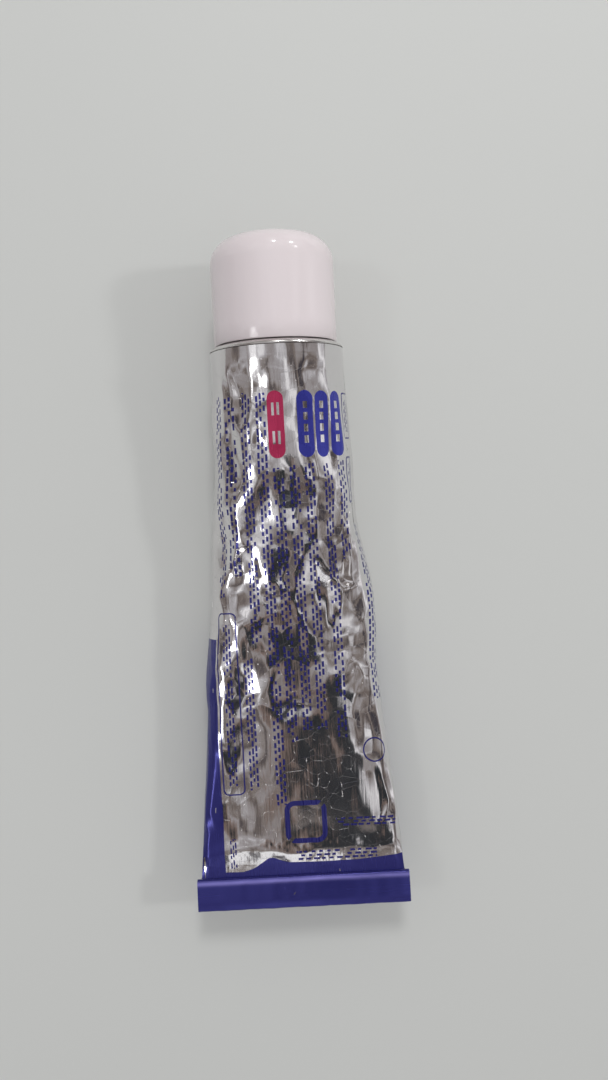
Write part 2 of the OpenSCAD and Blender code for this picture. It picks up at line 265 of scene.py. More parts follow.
# %% Roll the wall up
LAST = 2 * CELLS_ALONG
MARKS = list(range(LAST)) + [LAST - 0.6, LAST]  # one more row where the wall meets the strip
CUTS, SMOOTHINGS = 4, 2
skin = bmesh.new()
bmesh.ops.create_grid(skin, x_segments=2 * CELLS_ROUND, y_segments=len(MARKS) - 1, size=0.5)
place = skin.loops.layers.uv.new("print_map")
where = {}
for vert in skin.verts:
    x, row = vert.co.x * CELLS_ROUND, MARKS[round((vert.co.y + 0.5) * (len(MARKS) - 1))]
    f = facet(x, row / 2)
    where[vert] = (f.x + 0.5, f.y * BODY_LEN / 100)
    vert.co = wall_point(f.x, f.y * BODY_LEN, depth_at(f.x, f.y, f.z))
for face in skin.faces:
    for loop in face.loops:
        loop[place].uv = where[loop.vert]
bmesh.ops.remove_doubles(skin, verts=skin.verts, dist=1e-6)
bmesh.ops.subdivide_edges(skin, edges=skin.edges, cuts=CUTS, use_grid_fill=True)
inner_verts = [v for v in skin.verts if not v.is_boundary]
for _ in range(SMOOTHINGS):
    bmesh.ops.smooth_vert(skin, verts=inner_verts, factor=0.5,
                          use_axis_x=True, use_axis_y=True, use_axis_z=True)
bmesh.ops.holes_fill(skin, edges=[e for e in skin.edges if e.is_boundary], sides=0)
tube_skin = finish_piece(skin, "tube_skin", "tube", angle=60)

# %% [markdown]
# ## The folded strip
# The end of the tube is pressed flat, turned over towards the top and rolled in. The sheet's path
# is drawn once, from the wall's end through the outer bend and the inner bend, then a flat grid is
# laid along it and given the thickness of two walls. The top layer springs up a little and rounds
# over into the inner bend, where the strip catches the light. A block could stand in for the fold,
# but its ends, where the layers show, would give it away.

# %% Fold the strip
SHEET = 2 * WALL
STEP = SHEET + LAYER_GAP
OUTER_R = STEP
INNER_R = STEP / 2
TAIL = lean(BODY_LEN)
SUNK = 0.02  # where the path starts, just past the wall's end
ROLLED_SHORT = 0.9  # the innermost layer ends this far from the outer bend
SPRING, ROUNDING = 0.15, 0.3  # how far the top layer springs up, and how soon it rounds over


def strip_path():
    end = STRIP_H - OUTER_R - SHEET / 2
    start = INNER_R + SHEET / 2
    path = [(SUNK + (end - SUNK) * k / 10, 0.0) for k in range(11)]
    path += [(end + OUTER_R * sin_deg(a), STEP - OUTER_R * cos_deg(a)) for a in range(15, 181, 15)]
    path += [(end + (start - end) * (1 - (1 - k / 20) ** 2), 2 * STEP) for k in range(1, 21)]
    path += [(start - INNER_R * sin_deg(a), 1.5 * STEP + INNER_R * cos_deg(a))
             for a in range(20, 181, 20)]
    path += [(start + (STRIP_H - ROLLED_SHORT - start) * k / 8, STEP) for k in range(1, 9)]
    return path


PATH = strip_path()
fold = bmesh.new()
bmesh.ops.create_grid(fold, x_segments=70, y_segments=len(PATH) - 1, size=0.5)
for vert in fold.verts:
    u, v = PATH[round((vert.co.y + 0.5) * (len(PATH) - 1))]
    x = vert.co.x * (GIRTH / 2 + STRIP_SPREAD)
    ripple = 0.05 * math.sin(x * 0.9) + 0.03 * math.sin(x * 2.3 + 1)
    u += 0.4 * ripple * (u / STRIP_H)
    if v > 1.5 * STEP:
        rounded = 1 - math.exp(-max(0.0, u - INNER_R - SHEET / 2) / ROUNDING)
        free = max(0.0, min(1.0, STRIP_H - OUTER_R - SHEET / 2 - u))
        v += SPRING * rounded * free * (1 + 3 * ripple)
    vert.co = Vector((
        x,
        HEAD_Y - BODY_LEN - u * cos_deg(TAIL) + v * sin_deg(TAIL),
        middle(BODY_LEN) + u * sin_deg(TAIL) + v * cos_deg(TAIL),
    )) * MM
bmesh.ops.recalc_face_normals(fold, faces=fold.faces)
fold_faces = list(fold.faces)
bmesh.ops.solidify(fold, geom=fold_faces, thickness=SHEET * MM)
tube_strip = finish_piece(fold, "tube_strip", "tube", angle=50)

# %% [markdown]
# ## Shoulder and neck
# The head is the thick, stiff part of the tube. Its few sizes are the solids' own, and the height
# over the cone is a formula, because the neck, the cap and the thread all start from it. Round
# pieces are spun: an outline in the plane of the axis is turned once round. Cylinders and cones
# could be joined instead, but one outline leaves no seams.

# %% Sizes of the head
HEAD = Matrix.Translation(Vector((0, HEAD_Y, middle(0))) * MM) @ Matrix.Rotation(
    math.radians(HEAD_TILT - 90), 4, "X")
SHOULDER_R, SHOULDER_T, SLOPE = 0.6, 0.8, 24.0
NECK_R, NECK_LEN, BORE_R, TIP_T, ORIFICE_R = 5.0, 10, 3.5, 1.0, 1.8
LIP_R, LIP_Z = TUBE_D / 2 + 0.03, 0.1
ROUND_X = LIP_R - SHOULDER_R
CONE_X = ROUND_X + SHOULDER_R * sin_deg(SLOPE)
CONE_Z = LIP_Z + SHOULDER_R * cos_deg(SLOPE)
TAN = math.tan(math.radians(SLOPE))


def cone_height(r):
    return CONE_Z + (CONE_X - r) * TAN


TIP_Z = cone_height(NECK_R) + NECK_LEN
DROP = SHOULDER_T / cos_deg(SLOPE)
print("the neck ends %.2f mm above the shoulder" % TIP_Z)


def spun(outline, steps):
    bm = bmesh.new()
    verts = [bm.verts.new(Vector((r, 0, z)) * MM) for r, z in outline]
    edges = [bm.edges.new(p) for p in zip(verts, verts[1:] + verts[:1])]
    bmesh.ops.spin(bm, geom=verts + edges, cent=(0, 0, 0), axis=(0, 0, 1), angle=math.tau,
                   steps=steps, use_merge=True)
    bmesh.ops.remove_doubles(bm, verts=bm.verts, dist=1e-7)
    return bm


def arc_points(cx, cz, r, start, end, steps):
    return [(cx + r * cos_deg(start + (end - start) * k / steps),
             cz + r * sin_deg(start + (end - start) * k / steps)) for k in range(steps + 1)]


def set_on_head(bm, name, body, **shading):
    bmesh.ops.transform(bm, matrix=HEAD, verts=bm.verts)
    return finish_piece(bm, name, body, **shading)


# %% [markdown]
# ## The head's outline
# On the real tube the wall, the shoulder and the neck are one piece. Here the head is a skin of its
# own, whose lip stands out by a hair and hides the wall's first edge. The outline runs up the cone
# and the neck, round the rim of the opening and back through the bore. Its fillets could come from
# a bevel, but they are so few that they are drawn as points and two arcs.

# %% Spin the head
FILLET, RIM_R, RIM_EDGE = 0.25, 0.5, 0.1
NECK_FOOT = cone_height(NECK_R)
LOW_R = CONE_X - (LIP_Z + DROP - CONE_Z) / TAN
head_line = [(LOW_R, LIP_Z), (LIP_R, LIP_Z)]
head_line += arc_points(ROUND_X, LIP_Z, SHOULDER_R, 8, 90 - SLOPE, 8)
head_line += [(NECK_R + FILLET, cone_height(NECK_R + FILLET)), (NECK_R + 0.05, NECK_FOOT + 0.15)]
head_line += [(NECK_R, NECK_FOOT + 0.4), (NECK_R, TIP_Z - RIM_R)]
head_line += arc_points(NECK_R - RIM_R, TIP_Z - RIM_R, RIM_R, 10, 90, 5)
head_line += [(ORIFICE_R + RIM_EDGE, TIP_Z), (ORIFICE_R, TIP_Z - RIM_EDGE)]
head_line += [(ORIFICE_R, TIP_Z - TIP_T), (BORE_R, TIP_Z - TIP_T)]
head_line += [(BORE_R, cone_height(BORE_R) - DROP)]
tube_head = set_on_head(spun(head_line, 96), "tube_head", "tube", angle=35)

# %% [markdown]
# ## The thread
# A thread goes about two and a half times round the neck, and the cap's runs in it. A wedge is
# spun while it climbs, then its first and last third of a turn sink into the wall, as a real thread
# runs out. A screw modifier could wind it too, but it has no such ends.

# %% Wind a thread
PITCH, STEPS_A_TURN = 2.1, 48
ROOT, FOOT = 0.06, 0.02  # the root lies in the wall, the foot just stands out of it


def thread(inner_r, tip_r, start_z, turns, half, name, body):
    bm = bmesh.new()
    way = 1 if tip_r > inner_r else -1
    root, foot = inner_r - ROOT * way, inner_r + FOOT * way
    outline = [(root, -half), (foot, -half * 0.8), (tip_r, -half * 0.3),
               (tip_r, half * 0.3), (foot, half * 0.8), (root, half)]
    verts = [bm.verts.new(Vector((r, 0, start_z + z)) * MM) for r, z in outline]
    face = bm.faces.new(verts)
    steps = int(STEPS_A_TURN * turns)
    climb = Vector((0, 0, PITCH * turns / steps)) * MM
    bmesh.ops.spin(bm, geom=[face], cent=(0, 0, 0), axis=(0, 0, 1), angle=math.tau * turns,
                   steps=steps, dvec=climb, use_duplicate=False)
    last = start_z + PITCH * turns
    for vert in bm.verts:
        z = vert.co.z / MM
        run = min(z - start_z + half, last + half - z) / (PITCH / 3)
        r = math.hypot(vert.co.x, vert.co.y) / MM
        if run < 1 and (r - inner_r) * way > 0:
            keep = (inner_r + (r - inner_r) * max(0.1, run)) / r
            vert.co.x *= keep
            vert.co.y *= keep
    return set_on_head(bm, name, body, angle=40)


neck_thread = thread(NECK_R, NECK_R + 0.4, TIP_Z - 7.4, 2.75, 0.62, "neck_thread", "tube")
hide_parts("tube_body")

# %% [markdown]
# ## The cap
# The cap is one plastic moulding. Outside it is a skirt with a broad rounded edge at its closed
# end, and on that end a shallow dish with the mark of the mould's gate. A cylinder could be
# bevelled and hollowed, but the outline, out over the end and back inside, gives the wall its
# thickness in the same spin.

# %% Spin the cap
CAP_R, CAP_LEN, CAP_ROUND, SKIRT, TOP = 10.1, 17.1, 4.3, 1.2, 1.5
SEAT = 0.2
CAP_Z = cone_height(CAP_R) + SEAT
CAP_TOP = CAP_Z + CAP_LEN
CEILING = CAP_TOP - TOP
SLEEVE_IN, SLEEVE_OUT = 5.55, 6.85
SLEEVE_Z = cone_height(SLEEVE_IN) + SEAT

IN_R, IN_ROUND = CAP_R - SKIRT, CAP_ROUND - SKIRT
DISH_R, DISH_DEEP = CAP_R - CAP_ROUND - 0.8, 0.25
GATE = [(0.9, 0.26), (0.75, 0.36), (0.5, 0.42), (0.0, 0.45)]  # radius and depth of its mark
cap_line = [(IN_R, cone_height(IN_R) + SEAT), (CAP_R - 0.15, CAP_Z + 0.02), (CAP_R, CAP_Z + 0.2)]
cap_line += [(CAP_R, CAP_Z + 3), (CAP_R, CAP_TOP - CAP_ROUND - 2)]
cap_line += arc_points(CAP_R - CAP_ROUND, CAP_TOP - CAP_ROUND, CAP_ROUND, 0, 90, 18)
cap_line += [(DISH_R + 0.1, CAP_TOP)]
cap_line += [(DISH_R * k / 8, CAP_TOP - DISH_DEEP * (1 - (k / 8) ** 2)) for k in range(8, 1, -1)]
cap_line += [(r, CAP_TOP - deep) for r, deep in GATE]
inside_line = [(0.0, CEILING), (IN_R - IN_ROUND, CEILING)]
inside_line += arc_points(IN_R - IN_ROUND, CEILING - IN_ROUND, IN_ROUND, 80, 0, 10)
cap_bm = spun(cap_line + inside_line, 144)
bmesh.ops.dissolve_degenerate(cap_bm, dist=1e-7, edges=cap_bm.edges)
cap_shell = set_on_head(cap_bm, "cap_shell", "cap", angle=50)

# %% [markdown]
# ## Inside the cap
# A threaded sleeve holds the cap on the neck, a ring presses on the neck's rim and seals it, and
# eight ribs stiffen the skirt. They could be left out, as the closed cap hides them, but they show
# when it comes off. The round ones are spun; the ribs are one box that is copied round the axis.

# %% Sleeve, sealing ring and ribs
ROOTED = CEILING + 0.2  # the inner parts grow out of the ceiling
sleeve_line = [(SLEEVE_IN + 0.3, SLEEVE_Z), (SLEEVE_OUT - 0.2, SLEEVE_Z),
               (SLEEVE_OUT, SLEEVE_Z + 0.2), (SLEEVE_OUT, ROOTED),
               (SLEEVE_IN, ROOTED), (SLEEVE_IN, SLEEVE_Z + 0.3)]
cap_sleeve = set_on_head(spun(sleeve_line, 96), "cap_sleeve", "cap", angle=40)

RING_IN, RING_OUT, RING_EDGE, RING_Z = 2.6, 3.6, 0.15, TIP_Z + SEAT
ring_line = [(RING_IN + RING_EDGE, RING_Z), (RING_OUT - RING_EDGE, RING_Z),
             (RING_OUT, RING_Z + RING_EDGE), (RING_OUT, ROOTED),
             (RING_IN, ROOTED), (RING_IN, RING_Z + RING_EDGE)]
cap_ring = set_on_head(spun(ring_line, 72), "cap_ring", "cap", angle=40)
cap_thread = thread(SLEEVE_IN, SLEEVE_IN - 0.09, TIP_Z - 6.9, 2.5, 0.45, "cap_thread", "cap")

RIBS, RIB_T, RIB_LAP = 8, 0.9, 0.2
RIB_LOW, RIB_HIGH = SLEEVE_Z + 5, CEILING - IN_ROUND
RIB_LEN = IN_R - SLEEVE_OUT + 2 * RIB_LAP
rib_size = Vector((RIB_LEN, RIB_T, RIB_HIGH - RIB_LOW)) * MM
rib_place = Vector((SLEEVE_OUT - RIB_LAP + RIB_LEN / 2, 0, (RIB_LOW + RIB_HIGH) / 2)) * MM
ribs_bm = bmesh.new()
for k in range(RIBS):
    made = bmesh.ops.create_cube(ribs_bm, size=1)["verts"]
    bmesh.ops.scale(ribs_bm, vec=rib_size, verts=made)
    bmesh.ops.translate(ribs_bm, vec=rib_place, verts=made)
    bmesh.ops.rotate(ribs_bm, cent=(0, 0, 0), verts=made,
                     matrix=Matrix.Rotation(k * math.tau / RIBS, 3, "Z"))
cap_ribs = set_on_head(ribs_bm, "cap_ribs", "cap", smooth=False)
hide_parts("cap")

# %% [markdown]
# ## Sums with shader sockets
# A material could be built as a long list of nodes and links, but a sum is easier to read than a
# drawing of wires. One small class wraps a socket, so that masks are added and multiplied in Python
# and each sign adds its Math node. Every other node comes from add(), which sets its options and
# joins its sockets.

# %% The socket class
class Wire:
    def __init__(self, tree, socket):
        self.tree, self.socket = tree, socket

    def math(self, operation, *others):
        terms = dict(enumerate((self, *others)))
        return add(self.tree, "ShaderNodeMath", {"operation": operation}, terms)

    def __add__(self, other):
        return self.math("ADD", other)

    def __radd__(self, other):
        return self.math("ADD", other)

    def __sub__(self, other):
        return self.math("SUBTRACT", other)

    def __rsub__(self, other):
        return self.math("SUBTRACT", other) * -1

    def __mul__(self, other):
        return self.math("MULTIPLY", other)

    def __rmul__(self, other):
        return self.math("MULTIPLY", other)

    def __truediv__(self, other):
        return self.math("DIVIDE", other)

    def __rtruediv__(self, other):
        return self.math("POWER", -1.0) * other

    def __lt__(self, other):
        return self.math("LESS_THAN", other)

    def __gt__(self, other):
        return self.math("GREATER_THAN", other)

    def __abs__(self):
        return self.math("ABSOLUTE")


def add(tree, kind, settings=None, sockets=None, out=0):
    node = tree.nodes.new(kind)
    for key, value in (settings or {}).items():
        if key == "stops":
            ramp = node.color_ramp.elements
            while len(ramp) < len(value):
                ramp.new(0.5)
            for stop, (at, colour) in zip(ramp, value):
                stop.position, stop.color = at, (*colour, 1)
        else:
            setattr(node, key, value)
    for key, value in (sockets or {}).items():
        if isinstance(value, Wire):
            tree.links.new(value.socket, node.inputs[key])
        elif value is not None:
            node.inputs[key].default_value = value
    return Wire(tree, node.outputs[out])


def new_material(name):
    material = bpy.data.materials.new(name)
    material.use_nodes = True
    return material, material.node_tree, material.node_tree.nodes["Principled BSDF"]


def mix(tree, share_of_b, a, b):
    both = {0: share_of_b}
    both[6] = (*a, 1) if isinstance(a, tuple) else a
    both[7] = (*b, 1) if isinstance(b, tuple) else b
    return add(tree, "ShaderNodeMix", {"data_type": "RGBA"}, both, out=2)


def feed(tree, shader, **links):
    for name, value in links.items():
        socket = shader.inputs[name.replace("_", " ")]
        if isinstance(value, Wire):
            tree.links.new(value.socket, socket)
        else:
            socket.default_value = value


def dress(piece, material):
    piece.data.materials.clear()
    piece.data.materials.append(material)


print("the socket class is ready")

# %% [markdown]
# ## Bare metal
# The wall was drawn lengthwise when it was made, so it has fine lines along it and a polish that
# comes and goes. The lines could be scratched in as shapes, but a noise that is stretched along the
# tube costs nothing; it feeds a slight bump and the roughness. A second, broad noise changes the
# polish from place to place.

# %% Metal lines and polish
METAL = (0.78, 0.765, 0.77)


def noise(tree, spot, scale, detail, **more):
    sockets = {"Vector": spot, "Scale": scale, "Detail": detail, **more}
    return add(tree, "ShaderNodeTexNoise", {}, sockets)


def stretched(tree, spot, scale, turn=(0.0, 0.0, 0.0)):
    return add(tree, "ShaderNodeMapping", {}, {"Vector": spot, "Rotation": turn, "Scale": scale})


def bumped(tree, height, strength, distance):
    sockets = {"Strength": strength, "Distance": distance, "Height": height}
    return add(tree, "ShaderNodeBump", {}, sockets)


def metal_lines(tree, across=2600.0, along=28.0):
    spot = add(tree, "ShaderNodeTexCoord", out=3)
    fine = noise(tree, stretched(tree, spot, (across, along, across)), 1.0, 3.0)
    return spot, fine, noise(tree, spot, 90.0, 4.0)


print("bare metal reflects %.0f%% of the light" % (100 * sum(METAL) / 3))

# %% [markdown]
# ## Crumples too small for the mesh
# Foil breaks into flat facets of every size. The smallest could be modelled with far more faces,
# but a bump is enough for them. Each Voronoi cell gets a random slope, and its height is that slope
# times the way from the cell's middle, so every cell is flat and its rim is sharp.

# %% Small facets
def vector(tree, operation, a, b, out=0):
    return add(tree, "ShaderNodeVectorMath", {"operation": operation}, {0: a, 1: b}, out)


def foil(tree, spot, scale, slope):
    cells = add(tree, "ShaderNodeTexVoronoi", {}, {"Vector": spot, "Scale": scale}, out=1)
    cell_middle = Wire(tree, cells.socket.node.outputs[2])
    tilt = vector(tree, "SUBTRACT", cells, (0.5, 0.5, 0.5))
    away = vector(tree, "SUBTRACT", spot, cell_middle)
    return vector(tree, "DOT_PRODUCT", tilt, away, out=1) * slope


COARSE, SMALL = (150.0, 0.1), (520.0, 0.035)  # cells to a metre, slope
print("facets of %.1f and %.1f mm" % (1000 / COARSE[0], 1000 / SMALL[0]))

# %% [markdown]
# ## Print on the wall
# The tube is printed in two inks before it is filled. A picture of the print could be laid on the
# wall, but it would blur close up. Here it is drawn by sums, in millimetres, across from the top
# centre line and along from the shoulder. Every shape is a mask of zeros and ones: a pill, a box
# with round corners, or a row of strokes.

# %% Shapes for the print
def between(x, low, high):
    return (x > low) * (x < high)


def either(*masks):
    whole, *others = masks
    for mask in others:
        whole = whole.math("MAXIMUM", mask)
    return whole


def total(parts):
    first, *others = parts
    return sum(others, first)


def clipped(x):
    return x.math("MAXIMUM", 0.0).math("MINIMUM", 1.0)


def hill(x):
    return (x * x * -1.0).math("EXPONENT")


def capsule(u, s, cu, cs, half, length):
    over = (abs(s - cs) - (length / 2 - half)).math("MAXIMUM", 0.0)
    return ((u - cu).math("POWER", 2.0) + over.math("POWER", 2.0)).math("SQRT") < half


def round_box(u, s, cu, cs, hu, hs, r):
    a = (abs(u - cu) - (hu - r)).math("MAXIMUM", 0.0)
    b = (abs(s - cs) - (hs - r)).math("MAXIMUM", 0.0)
    return (a * a + b * b).math("SQRT") - r


def strokes(tree, across, along, row, pitch):
    lane = (across * 3 + 1.5).math("FLOOR")
    shifted = along / pitch + lane * 0.37
    cell, part = shifted.math("FLOOR"), shifted.math("FRACT")
    spot = add(tree, "ShaderNodeCombineXYZ", {}, {0: cell, 1: lane, 2: row})
    chance = add(tree, "ShaderNodeTexWhiteNoise", {"noise_dimensions": "3D"}, {"Vector": spot})
    in_lane = abs((across * 3 + 1.5).math("FRACT") - 0.5) < 0.3
    return in_lane * (part < 0.35 + chance * 0.5) * (chance > 0.12)


def dashes(along, pitch, dash):
    return ((along / pitch).math("FRACT") < dash / pitch) * between(along, 0.0, 7.0)


print("the print has %.1f by %.1f mm to go on" % (GIRTH, BODY_LEN))

# %% [markdown]
# ## Rows of small print
# Small print runs along the tube in rows, and two rows run across it near the end. Each row could
# be a curve object, but as a mask it is short strokes of chance lengths in three lanes, which reads
# as small print from afar. All rows along the tube share one set of strokes, so a new row costs a
# few nodes only.

# %% Rows of strokes
ROWS = [  # middle across, from, to, height of the row
    (-11.7, 7.0, 40.0, 1.5), (-8.9, 7.3, 36.0, 2.5), (-5.6, 6.8, 48.0, 1.9),
    (-7.3, 50.5, 72.8, 1.7), (-2.9, 7.0, 75.6, 1.9), (-0.5, 18.7, 65.0, 1.9),
    (2.05, 18.4, 63.0, 1.8), (4.5, 18.2, 63.0, 1.8), (7.8, 18.4, 64.6, 1.8),
    (10.8, 18.1, 34.0, 1.8), (15.0, 28.8, 58.6, 2.6), (-10.8, 44.6, 72.0, 1.6),
    (-11.5, 81.0, 86.0, 1.2), (14.2, 8.4, 13.6, 1.7), (13.9, 18.7, 24.0, 1.8),
]
CROSS_ROWS = [(78.9, 6.0, 15.9, 1.6), (84.3, -0.9, 12.6, 1.8)]  # middle along, from, to, height
PITCH_ALONG, PITCH_ACROSS = 1.25, 1.3  # from one stroke to the next


def text_rows(tree, u, s):
    here = [(abs(u - cu) < h / 2) * between(s, low, high) for cu, low, high, h in ROWS]
    across = total(row * (u - cu) / h for row, (cu, _, _, h) in zip(here, ROWS))
    chance_of = total(row * (k * 3.7) for k, row in enumerate(here))
    return (total(here) > 0.5) * strokes(tree, across, s, chance_of, PITCH_ALONG)


def cross_rows(tree, u, s):
    return total((abs(s - cs) < h / 2) * between(u, low, high)
                 * strokes(tree, (s - cs) / h, u + 40, cs, PITCH_ACROSS)
                 for cs, low, high, h in CROSS_ROWS)


print("rows:", len(ROWS), "along and", len(CROSS_ROWS), "across")

# %% [markdown]
# ## Labels and fields
# Red and blue pills hold plain bars, some rows stand in outlined boxes, a broken ring marks the
# end, and dark blue covers one edge and the whole end with an uneven border. Each could be a curve
# with its own ink, but as masks they lie exactly in the metal's face.

# %% Pills, outlines and the blue fields
RED_PILL = (-0.45, 12.0, 1.3, 10.5)  # middle across and along, half width, length
BLUE_PILLS = [(4.35, 12.1, 1.4, 10.4), (7.45, 12.2, 1.3, 10.4), (10.6, 12.2, 1.35, 10.3)]
OUTLINES = [  # middle across and along, half sizes, corner, half of the line
    (14.2, 11.0, 1.4, 3.6, 0.4, 0.13), (13.9, 21.3, 1.5, 3.6, 0.4, 0.17),
    (-10.75, 58.1, 1.75, 15.4, 0.9, 0.12), (13.1, 67.0, 1.95, 1.95, 1.94, 0.12),
]
RING = (0.95, 78.6, 3.1, 3.2, 1.3, 0.42)
BAND, EDGE_LEFT, EDGE_RIGHT, EDGE_FROM = 86.6, -13.0, 17.7, 47.2  # where the blue begins


def outlined(u, s, cu, cs, hu, hs, r, line):
    return abs(round_box(u, s, cu, cs, hu, hs, r)) < line


def labels(u, s):
    pills = either(*(capsule(u, s, *pill) for pill in BLUE_PILLS))
    gap = abs(u - 1.0 + (s - 78.6) * 0.9) < 0.45
    ring = outlined(u, s, *RING) * (1 - gap)
    lines = either(*(outlined(u, s, *box) for box in OUTLINES), ring)
    return capsule(u, s, *RED_PILL), pills, lines


def blue_fields(u, s, wobble):
    hump = hill((u + 5.2) / 2.0) * 1.1
    step = clipped((u + 10.0) / 4.4) * 1.1
    rise = (u - 9.0).math("MAXIMUM", 0.0) * 0.09
    band = s > (BAND - hump - step - rise + wobble * 0.3)
    edge = either((u + wobble * 0.25) < EDGE_LEFT, u > EDGE_RIGHT) * (s > EDGE_FROM)
    return either(band, edge)


print("pills:", 1 + len(BLUE_PILLS), "outlines:", len(OUTLINES) + 1)

# %% [markdown]
# ## The printed wall
# Ink lies on the metal as a thin coat: it takes some of the shine away, and it is scratched off in
# fine lines. Ink and metal could be two materials with faces of their own, but one material that
# mixes them by mask keeps the borders sharp. The same bump holds the drawn lines, the small facets,
# stilled where the wall is smoother, and the soft swell before the strip.

# %% Material of the printed wall
INK, PILL_BLUE, RED = (0.034, 0.034, 0.21), (0.046, 0.052, 0.38), (0.5, 0.032, 0.11)


def scratches(tree, spot, turn, scale, above):
    return noise(tree, stretched(tree, spot, scale, turn), 1.0, 2.0) > above


wall_metal, tree, shader = new_material("printed_metal")
spot, fine, broad = metal_lines(tree)
chart = add(tree, "ShaderNodeUVMap", {"uv_map": "print_map"})
split = add(tree, "ShaderNodeSeparateXYZ", {}, {0: chart})
u = (split - 0.5) * GIRTH
s = Wire(tree, split.socket.node.outputs[1]) * 100
wobble = (broad - 0.5) * 2
red, pills, lines = labels(u, s)
text = either(text_rows(tree, u, s), cross_rows(tree, u, s))
marks = dashes(s - 8.7, 4.4, 2.0) * (abs(abs(u + 0.45) - 0.42) < 0.2)
row_middle = abs(((u - 4.35) / 3.12 + 0.5).math("FRACT") - 0.5) < 0.12
knocked = dashes(s - 8.7, 1.75, 1.15) * row_middle * (u > 3.0)
scratch = scratches(tree, spot, (0.0, 0.0, 0.5), (900.0, 160.0, 400.0), 0.73)
red_ink = red * (1 - marks) * (1 - scratch)
blue = either(pills * (1 - knocked), lines, text * (1 - red), blue_fields(u, s, wobble))
blue_ink = blue * (1 - scratch)
inked = either(blue_ink, red_ink)
still = (1 - clipped((s - 52) / 12) * 0.75) * clipped((s - 1) / 5)  # calm at both ends
swell = hill((s - 83.4 + wobble * 2.2) / 1.5)
crumples = (foil(tree, spot, *COARSE) + foil(tree, spot, *SMALL)) * still
height = crumples + fine * 0.00001 + swell * 0.00025
blues = mix(tree, pills, INK, PILL_BLUE)
feed(tree, shader, Base_Color=mix(tree, blue_ink, mix(tree, red_ink, METAL, RED), blues),
     Metallic=1 - inked * 0.5, Normal=bumped(tree, height, 1.0, 1.0),
     Roughness=0.11 + (fine - 0.5) * 0.08 + (broad - 0.5) * 0.1 + inked * 0.16)
dress(tube_skin, wall_metal)
print("the printed metal takes", len(tree.nodes), "nodes")

# %% [markdown]
# ## The strip
# The strip carries the same blue. Where the top layer rounds over, a painted highlight lightens
# the blue in a thin line. The strip is also worn in specks, and a faint row of marks is pressed
# into it.
# The marks could be cut into the mesh, but they are so shallow that a bump does. The way down the
# strip is measured from the wall's end.

# %% Blue strip
DARK_BLUE, HIGHLIGHT_BLUE, WORN_BLUE = (0.045, 0.045, 0.25), (0.36, 0.33, 0.88), (0.45, 0.43, 0.6)
strip_metal, tree, shader = new_material("blue_metal")
spot, fine, broad = metal_lines(tree, across=60.0, along=900.0)
worn = noise(tree, spot, 420.0, 5.0, Roughness=0.7) > 0.7
split = add(tree, "ShaderNodeSeparateXYZ", {}, {0: spot})
down = (HEAD_Y - BODY_LEN) - Wire(tree, split.socket.node.outputs[1]) * 1000
# painted highlight: the blue is lightened in a line along the top layer's rounded edge, standing in
# for light caught there
painted_highlight = hill((down - 0.6 + (broad - 0.5) * 0.3) / 0.32) * (0.35 + broad * 0.9)
stamp = strokes(tree, (down - 2.6) / 2.2, split * 1000 + 40, 5.0, 1.7)
stamp = stamp * between(down, 1.6, 3.6) * between(split * 1000, -4.5, 5.5)
blue_with_painted_highlight = mix(tree, painted_highlight, DARK_BLUE, HIGHLIGHT_BLUE)
feed(tree, shader, Base_Color=mix(tree, worn * 0.5, blue_with_painted_highlight, WORN_BLUE), Metallic=0.6 + worn * 0.3,
     Roughness=0.26 + (fine - 0.5) * 0.15, Normal=bumped(tree, broad - stamp * 0.6, 0.25, 0.0003))
dress(tube_strip, strip_metal)
print("the strip takes", len(tree.nodes), "nodes")

# %% [markdown]
# ## The head and the cream
# The head is bare metal, a little greyer in places, with fine lines along it as on the wall. The
# cream is a thick white paste that shows only in the opening when the cap is off. It could be
# see-through at its edge, but so little of it shows that a matt colour with a soft bump is enough.

# %% Bare head and cream
head_metal, tree, shader = new_material("bare_metal")
spot, fine, broad = metal_lines(tree, across=1200.0, along=60.0)
feed(tree, shader, Base_Color=mix(tree, broad, METAL, (0.7, 0.68, 0.65)), Metallic=1.0,
     Roughness=0.22 + (broad - 0.5) * 0.15, Normal=bumped(tree, fine, 0.15, 0.0001))
for part in (tube_head, neck_thread):
    dress(part, head_metal)

cream_paste, tree, shader = new_material("cream_paste")
soft = noise(tree, add(tree, "ShaderNodeTexCoord", out=3), 500.0, 3.0)
feed(tree, shader, Base_Color=mix(tree, soft, (0.9, 0.88, 0.82), (0.82, 0.79, 0.72)),
     Roughness=0.35 + soft * 0.15, Normal=bumped(tree, soft, 0.3, 0.0002))
dress(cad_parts["cream"], cream_paste)
print("dressed:", head_metal.name, "and", cream_paste.name)

# %% [markdown]
# ## The cap's plastic
# The cap is polypropylene with a little pink in its white: glossy, with a faint orange-peel from
# the mould and a few fine rubbed marks. A plain colour would do from afar, but the marks in the
# roughness are what tell plastic from paint when light falls across it.

# %% Pale plastic
cap_plastic, tree, shader = new_material("pale_plastic")
spot = add(tree, "ShaderNodeTexCoord", out=3)
peel, tone = noise(tree, spot, 700.0, 2.0), noise(tree, spot, 60.0, 3.0)
rub = scratches(tree, spot, (0.3, 0.0, 0.7), (300.0, 2500.0, 900.0), 0.72)
feed(tree, shader, Base_Color=mix(tree, tone, (0.78, 0.70, 0.725), (0.81, 0.735, 0.75)),
     Roughness=0.11 + (tone - 0.5) * 0.04 + rub * 0.12, Normal=bumped(tree, peel, 0.06, 0.0002))
for part in (cap_shell, cap_sleeve, cap_ring, cap_thread, cap_ribs):
    dress(part, cap_plastic)
print("dressed:", cap_plastic.name)

# %% [markdown]
# ## The table
# The tube lies on a pale, matt table with hardly a mark on it. It could be plain, but a faint cloud
# in its colour keeps it from looking like paper.

